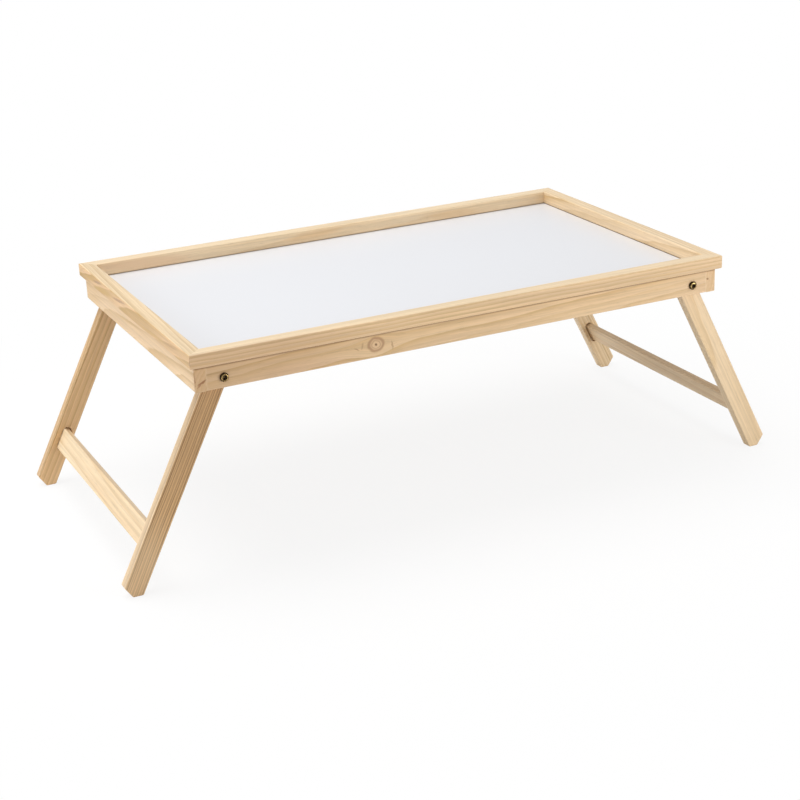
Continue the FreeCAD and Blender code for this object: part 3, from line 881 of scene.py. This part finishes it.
def beech_material(settings):
    """Bare turned beech for the hidden dowels."""
    material, g, shader = new_material("bare_beech")
    place = g.place()
    fleck = g.noise(g.vector("MULTIPLY", place, (300.0, 2500.0, 2500.0)), detail=2.0)
    tint = g.blend(g.step(fleck, 0.4, 0.7), settings.beech, settings.fleck)
    finish(g, shader, {"Base Color": tint, "Roughness": 0.6}, fleck, DOWEL_RELIEF)
    return material


SAME_PLACE = 1e-7


def turned_mesh(name, profile_at, sides=48):
    """A shape about the Y axis; profile_at gives its (y, radius) pairs at each turn.

    Where the outline doesn't end on its first point, the ends are closed flat."""
    shape = bmesh.new()
    columns = []
    for number in range(sides):
        turn = 2 * math.pi * number / sides
        columns.append([(radius * math.cos(turn), y, radius * math.sin(turn))
                        for y, radius in profile_at(turn)])
    loops = [[shape.verts.new(place) for place in row] for row in zip(*columns)]
    for inner, outer in zip(loops, loops[1:]):
        for number in range(sides):
            after = (number + 1) % sides
            shape.faces.new((inner[number], inner[after], outer[after], outer[number]))
    closed = columns[0][0] == columns[0][-1]
    if not closed:
        shape.faces.new(loops[0])
        shape.faces.new(loops[-1])
    bmesh.ops.remove_doubles(shape, verts=shape.verts, dist=SAME_PLACE)
    return mesh_from(name, shape)


@cache
def at_four_corners():
    """Repeats a piece at the four pivots, its outside facing away from the tray."""
    g, given, result = new_group("at_four_corners", {
        GEOMETRY: ("Geometry",), FLOAT: ("Spacing X", "Spacing Y", "Height", "Turn"),
        WHOLE: ("Seed",), MATERIAL: ("Material",)},
        {GEOMETRY: ("Geometry",)}, "GeometryNodeTree")
    grid = g.add("GeometryNodeMeshGrid", {
        "Size X": given["Spacing X"], "Size Y": given["Spacing Y"], "Vertices X": 2, "Vertices Y": 2})
    raised = g.add("GeometryNodeTransform", {
        "Geometry": grid.outputs[0], "Translation": g.join(0.0, 0.0, given["Height"])})
    _, y, _ = g.parts(g.add("GeometryNodeInputPosition").outputs[0])
    half_turn = g.times(g.math("GREATER_THAN", y, 0.0), math.pi)
    placed = g.add("GeometryNodeInstanceOnPoints", {
        "Points": raised.outputs[0], "Instance": given["Geometry"],
        "Rotation": g.join(0.0, 0.0, half_turn)})
    chance = g.add("FunctionNodeRandomValue", {"Seed": given["Seed"]}, data_type="FLOAT")
    turn = g.times(chance.outputs[1], given["Turn"])
    turned = g.add("GeometryNodeRotateInstances", {
        "Instances": placed.outputs[0], "Rotation": g.join(0.0, turn, 0.0), "Local Space": True})
    real = g.add("GeometryNodeRealizeInstances", {"Geometry": turned.outputs[0]})
    coloured = g.add("GeometryNodeSetMaterial", {
        "Geometry": real.outputs[0], "Material": given["Material"]})
    g.feed(result[0], coloured.outputs[0])
    return g.tree


def plain_mesh(made):
    """Replaces an object's mesh by the one its modifiers give, and drops the modifiers."""
    graph = bpy.context.evaluated_depsgraph_get()
    result = bpy.data.meshes.new_from_object(made.evaluated_get(graph), depsgraph=graph)
    made.modifiers.clear()
    made.data = result


def repeat_at_corners(made, seat, material, turn=0.0, seed=0):
    """Puts a copy of a piece at each pivot, seated at a distance from the tray's middle."""
    tree = at_four_corners()
    modifier = made.modifiers.new("at_four_corners", "NODES")
    modifier.node_group = tree
    values = {
        "Spacing X": 2 * RIGHT_PIVOT.x, "Spacing Y": 2 * seat, "Height": RIGHT_PIVOT.z,
        "Turn": turn, "Seed": seed, "Material": material}
    for item in tree.interface.items_tree:
        if item.in_out == "INPUT" and item.name in values:
            modifier[item.identifier] = values[item.name]
    plain_mesh(made)


def cross_outline(half_span, half_width):
    """The twelve corners of a cross, in order round it."""
    corners = [(half_width, half_span), (-half_width, half_span), (-half_width, half_width)]
    for _ in range(3):
        corners.extend([(-z, x) for x, z in corners[-3:]])
    return corners


RECESS_OVERSHOOT = 0.001        # how far the cutter stands out of the crown
RECESS_TOP = 1.25               # the cutter's span at its top, as a part of the recess span
RECESS_FLOOR = 0.55             # the same at its floor
ARM_TAPER = 0.3                 # how much of that taper the arms' width takes


def cross_cutter(settings, crown):
    """The shape of the cross recess, which narrows from above the crown to its floor."""
    shape = bmesh.new()
    loops = []
    for y, narrow in ((crown - RECESS_OVERSHOOT, RECESS_TOP), (crown + settings.recess_depth, RECESS_FLOOR)):
        half_span = settings.recess_span / 2 * narrow
        half_width = settings.recess_width / 2 * (1 - ARM_TAPER + ARM_TAPER * narrow)
        loops.append([shape.verts.new((x, y, z)) for x, z in cross_outline(half_span, half_width)])
    upper, lower = loops
    shape.faces.new(upper)
    shape.faces.new(lower)
    for number in range(len(upper)):
        after = (number + 1) % len(upper)
        shape.faces.new((upper[number], upper[after], lower[after], lower[number]))
    return mesh_from("recess_cutter", shape)


CROWN_STEPS = 10
CROWN_FLAT = 0.45               # flat middle of the head, as a part of its radius
CROWN_DROP = 0.62               # height of the rounded crown, as a part of the head's height
HEAD_EDGE = 0.00012             # chamfer under the head
TIP_TAPER = 0.0004              # chamfer of the screw's tip


def screw_profile(settings, head_radius, head_height, end):
    """Outline of a pan-head screw from its crown to the end of its thread."""
    points = []
    flat = head_radius * CROWN_FLAT
    for number in range(CROWN_STEPS + 1):
        turn = math.pi / 2 * number / CROWN_STEPS
        radius = flat + (head_radius - flat) * math.sin(turn)
        drop = head_height * CROWN_DROP * (1 - math.cos(turn))
        points.append((-head_height + drop, radius))
    points.append((-HEAD_EDGE, head_radius))
    points.append((0.0, head_radius - HEAD_EDGE))
    points.append((0.0, settings.shank))
    y = end - settings.thread_length
    while y + settings.pitch < end - TIP_TAPER:
        points.append((y, settings.shank))
        points.append((y + settings.pitch / 2, settings.shank - settings.thread_depth))
        y += settings.pitch
    points.append((y, settings.shank))
    points.append((end, settings.shank - TIP_TAPER))
    return points


def ring_profile(radius, bore, thickness, edge):
    """Closed outline of a flat washer with softened edges, from y = 0 inwards."""
    return [
        (0.0, bore), (0.0, radius - edge), (edge, radius), (thickness - edge, radius),
        (thickness, radius - edge), (thickness, bore), (0.0, bore)]


NUT_FACE = 0.96                 # width of the nut's flat face, as a part of its hexagon
NUT_CHAMFER = math.radians(30)  # slope of its chamfered corners
ROLL_CHAMFER = 0.3              # first part of the collar's rolled edge, which is steeper


def nut_profile(settings, half_flats, height, turn):
    """Outline of a lock nut at one turn: a hexagon with chamfered corners, then the round collar."""
    sixth = math.pi / 3
    corner = half_flats / math.cos(turn % sixth - sixth / 2)
    face = half_flats * NUT_FACE
    chamfer = (corner - face) * math.tan(NUT_CHAMFER)
    bore = settings.shank + settings.bore_play
    hexagon = height - settings.collar_height
    ring = settings.collar_radius - settings.collar_lip
    roll = settings.collar_lip / 2
    return [
        (0.0, bore), (0.0, face), (chamfer, corner), (hexagon - chamfer, corner), (hexagon, face),
        (hexagon, settings.collar_radius), (height - roll, settings.collar_radius),
        (height - ROLL_CHAMFER * roll, settings.collar_radius - ROLL_CHAMFER * roll),
        (height, settings.collar_radius - roll), (height, ring), (height - roll / 2, ring),
        (height - roll / 2, bore), (0.0, bore)]


SHARP = math.radians(32.0)      # faces that meet at more than this keep a sharp edge


def shade_by_angle(made):
    """Smooth shading with sharp edges kept."""
    shape = bmesh.new()
    shape.from_mesh(made.data)
    for edge in shape.edges:
        edge.smooth = len(edge.link_faces) == 2 and edge.calc_face_angle(0.0) < SHARP
    for face in shape.faces:
        face.smooth = True
    shape.to_mesh(made.data)
    shape.free()


# ---- Operators ----

class BEDTRAY_OT_rim(bpy.types.Operator):
    """Finish the four strips of the raised rim"""
    bl_idname = "bed_tray.rim"
    bl_label = "Rim strips"

    def execute(self, context):
        dress_boards(context, "rim_")
        return {"FINISHED"}


class BEDTRAY_OT_apron(bpy.types.Operator):
    """Finish the four apron boards below the rim"""
    bl_idname = "bed_tray.apron"
    bl_label = "Apron boards"

    def execute(self, context):
        dress_boards(context, "apron_")
        return {"FINISHED"}


class BEDTRAY_OT_legs(bpy.types.Operator):
    """Finish the four legs"""
    bl_idname = "bed_tray.legs"
    bl_label = "Legs"

    def execute(self, context):
        dress_boards(context, "leg_")
        return {"FINISHED"}


class BEDTRAY_OT_stretchers(bpy.types.Operator):
    """Finish the two stretchers between the legs"""
    bl_idname = "bed_tray.stretchers"
    bl_label = "Stretchers"

    def execute(self, context):
        dress_boards(context, "stretcher_")
        return {"FINISHED"}


class BEDTRAY_OT_panel(bpy.types.Operator):
    """Make the laminated board that things stand on"""
    bl_idname = "bed_tray.panel"
    bl_label = "Panel"

    def execute(self, context):
        settings = context.scene.bed_tray_panel
        low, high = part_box("tray_panel")
        panel = mesh_object("laminated_panel", box_mesh("laminated_panel", low, high))
        bevelled(panel, settings.edge)
        plain_mesh(panel)
        panel.data.materials.append(laminate_material(settings))
        panel.data.materials.append(fibreboard_material(settings))
        skin_bottom = high[2] - settings.skin
        for face in panel.data.polygons:
            on_top = face.center.z > skin_bottom
            face.material_index = 0 if on_top else 1
        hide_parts("tray_panel")
        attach(panel, "tray")
        return {"FINISHED"}


class BEDTRAY_OT_screws(bpy.types.Operator):
    """Make the four pivot screws"""
    bl_idname = "bed_tray.screws"
    bl_label = "Pivot screws"

    def execute(self, context):
        settings = context.scene.bed_tray_hardware
        low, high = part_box("pivot_screws")
        head_radius = (high[2] - low[2]) / 2
        head_height = high[1] - APRON_FACE
        end = APRON_FACE - reach_of("pivot_screws")[0]
        profile = screw_profile(settings, head_radius, head_height, end)
        screw = mesh_object("pivot_screw_heads", turned_mesh("pivot_screw", lambda turn: profile))
        cutter = mesh_object("recess_cutter", cross_cutter(settings, -head_height))
        cut = screw.modifiers.new("cross_recess", "BOOLEAN")
        cut.object = cutter
        cut.solver = "EXACT"
        plain_mesh(screw)
        bpy.data.objects.remove(cutter)
        repeat_at_corners(
            screw, APRON_FACE, brass_material(settings), turn=math.pi, seed=settings.seed)
        shade_by_angle(screw)
        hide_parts("pivot_screws")
        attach(screw, "tray")
        return {"FINISHED"}


class BEDTRAY_OT_washers(bpy.types.Operator):
    """Make the washers on both sides of each leg"""
    bl_idname = "bed_tray.washers"
    bl_label = "Washers"

    def execute(self, context):
        settings = context.scene.bed_tray_hardware
        zinc = zinc_material(settings)
        for node in ("spacer_washers", "inner_washers"):
            low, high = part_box(node)
            near, far = reach_of(node)
            profile = ring_profile(
                (high[2] - low[2]) / 2, settings.shank + settings.bore_play, far - near,
                settings.washer_edge)
            washer = mesh_object(node + "_piece", turned_mesh(node, lambda turn: profile))
            repeat_at_corners(washer, far, zinc)
            shade_by_angle(washer)
            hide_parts(node)
            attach(washer, "tray")
        return {"FINISHED"}


class BEDTRAY_OT_nuts(bpy.types.Operator):
    """Make the lock nuts on the screws' ends"""
    bl_idname = "bed_tray.nuts"
    bl_label = "Lock nuts"

    def execute(self, context):
        settings = context.scene.bed_tray_hardware
        low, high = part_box("pivot_nuts")
        near, far = reach_of("pivot_nuts")
        half_flats = min((high[2] - low[2]) / 2, high[0] - RIGHT_PIVOT.x)
        nut = mesh_object("lock_nuts", turned_mesh(
            "lock_nut", lambda turn: nut_profile(settings, half_flats, far - near, turn), sides=72))
        repeat_at_corners(nut, far, lock_nut_material(settings))
        shade_by_angle(nut)
        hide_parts("pivot_nuts")
        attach(nut, "tray")
        return {"FINISHED"}


class BEDTRAY_OT_dowels(bpy.types.Operator):
    """Finish the hidden corner dowels"""
    bl_idname = "bed_tray.dowels"
    bl_label = "Corner dowels"

    def execute(self, context):
        dress("corner_dowels", beech_material(context.scene.bed_tray_hardware))
        return {"FINISHED"}


def floor_material(stage):
    """White paper floor: it keeps the shadow, fades into the white, and is clear from below."""
    material, g, shader = new_material("white_floor")
    g.feed(shader.inputs["Base Color"], stage.floor)
    shader.inputs["Roughness"].default_value = 0.9
    shader.inputs["Specular IOR Level"].default_value = 0.0
    path = g.add("ShaderNodeLightPath")
    white = g.add("ShaderNodeEmission", {"Color": (1, 1, 1, 1), "Strength": 1.0})
    distance = g.vector("LENGTH", g.place())
    shown = g.step(distance, stage.fade_start, stage.fade_end, stage.floor_shadow, 0.0)
    whitened = g.times(path.outputs["Is Camera Ray"], g.minus(1.0, shown))
    blend = g.add("ShaderNodeMixShader", {0: whitened, 1: shader.outputs[0], 2: white.outputs[0]})
    behind = g.add("ShaderNodeNewGeometry").outputs["Backfacing"]
    below = g.times(path.outputs["Is Camera Ray"], behind)
    clear = g.add("ShaderNodeBsdfTransparent")
    seen = g.add("ShaderNodeMixShader", {0: below, 1: blend.outputs[0], 2: clear.outputs[0]})
    output = g.tree.nodes["Material Output"]
    g.tree.links.new(seen.outputs[0], output.inputs["Surface"])
    return material


# Where each lamp stands, where it aims and how wide it is; StageSettings holds its power.
Lamp = namedtuple("Lamp", "name place aim width")
LAMPS = (
    Lamp("key", place=(-0.35, 0.25, 1.7), aim=(0, 0, 0.15), width=1.4),
    Lamp("side", place=(-1.8, 0.2, 0.55), aim=(0, 0, 0.12), width=0.9),
    Lamp("front", place=(0.85, -1.1, 0.32), aim=(0.1, 0, 0.12), width=0.7),
)


def area_lamp(lamp, watts):
    """A round lamp that the camera doesn't see."""
    data = bpy.data.lights.new(lamp.name + "_lamp", "AREA")
    data.shape = "DISK"
    data.size = lamp.width
    data.energy = watts
    made = bpy.data.objects.new(lamp.name + "_lamp", data)
    made.location = lamp.place
    aim = Vector(lamp.aim) - Vector(lamp.place)
    made.rotation_euler = aim.to_track_quat("-Z", "Y").to_euler()
    made.visible_camera = False
    bpy.context.scene.collection.objects.link(made)


def studio_sky(stage):
    """Even light from all round, and plain white where the camera or a view through glass sees it."""
    world = bpy.data.worlds.new("studio_sky")
    world.use_nodes = True
    tree = world.node_tree
    tree.nodes.clear()
    g = Graph(tree)
    path = g.add("ShaderNodeLightPath")
    seen = g.math("MAXIMUM", path.outputs["Is Camera Ray"], path.outputs["Is Transmission Ray"])
    strength = g.plus(stage.sky, g.times(seen, 1.0 - stage.sky))
    background = g.add("ShaderNodeBackground", {"Color": (1, 1, 1, 1), "Strength": strength})
    output = g.add("ShaderNodeOutputWorld")
    tree.links.new(background.outputs[0], output.inputs["Surface"])
    bpy.context.scene.world = world


SENSOR_WIDTH = 36.0
FAR_CLIP = 100.0


def photograph_camera(stage):
    """The camera at the photograph's place and angle."""
    data = bpy.data.cameras.new("camera")
    data.lens = stage.lens
    data.sensor_width = SENSOR_WIDTH
    data.clip_end = FAR_CLIP
    camera = bpy.data.objects.new("camera", data)
    level = math.cos(stage.elevation)
    back = Vector((
        math.sin(stage.azimuth) * level, -math.cos(stage.azimuth) * level, math.sin(stage.elevation)))
    right = (-back).cross(Vector((0, 0, 1))).normalized()
    up = right.cross(-back)
    turned_right = math.cos(stage.roll) * right + math.sin(stage.roll) * up
    turned_up = math.cos(stage.roll) * up - math.sin(stage.roll) * right
    camera.rotation_euler = Matrix((turned_right, turned_up, back)).transposed().to_euler()
    camera.location = Vector(stage.look_at) + back * stage.distance
    bpy.context.scene.collection.objects.link(camera)
    bpy.context.scene.camera = camera


class BEDTRAY_OT_stage(bpy.types.Operator):
    """Make the floor, the lamps and the camera"""
    bl_idname = "bed_tray.stage"
    bl_label = "Stage"

    def execute(self, context):
        stage = context.scene.bed_tray_stage
        half = stage.floor_size / 2
        mesh = bpy.data.meshes.new("floor")
        mesh.from_pydata(
            [(-half, -half, 0), (half, -half, 0), (half, half, 0), (-half, half, 0)], [], [(0, 1, 2, 3)])
        floor = mesh_object("floor", mesh)
        floor.data.materials.append(floor_material(stage))
        for lamp in LAMPS:
            area_lamp(lamp, getattr(stage, lamp.name))
        studio_sky(stage)
        photograph_camera(stage)
        context.scene.view_settings.view_transform = "Standard"
        return {"FINISHED"}


OPERATORS = (
    BEDTRAY_OT_stage,
    BEDTRAY_OT_rim,
    BEDTRAY_OT_apron,
    BEDTRAY_OT_panel,
    BEDTRAY_OT_legs,
    BEDTRAY_OT_stretchers,
    BEDTRAY_OT_screws,
    BEDTRAY_OT_washers,
    BEDTRAY_OT_nuts,
    BEDTRAY_OT_dowels,
)


class BEDTRAY_PT_panel(bpy.types.Panel):
    """Lists the steps that build the tray's looks"""
    bl_label = "Bed Tray"
    bl_idname = "BEDTRAY_PT_panel"
    bl_space_type = "VIEW_3D"
    bl_region_type = "UI"
    bl_category = "Bed Tray"

    def draw(self, context):
        for operator in OPERATORS:
            self.layout.operator(operator.bl_idname)
        for name, group in SETTINGS.items():
            box = self.layout.box()
            for field in group.__annotations__:
                box.prop(getattr(context.scene, name), field)


CLASSES = (*SETTINGS.values(), *OPERATORS, BEDTRAY_PT_panel)


def register():
    for each in CLASSES:
        bpy.utils.register_class(each)
    for name, group in SETTINGS.items():
        setattr(bpy.types.Scene, name, PointerProperty(type=group))


def unregister():
    for name in SETTINGS:
        delattr(bpy.types.Scene, name)
    for each in reversed(CLASSES):
        bpy.utils.unregister_class(each)


def main():
    register()
    for operator in OPERATORS:
        group, name = operator.bl_idname.split(".")
        getattr(getattr(bpy.ops, group), name)()


if __name__ == "__main__":
    main()
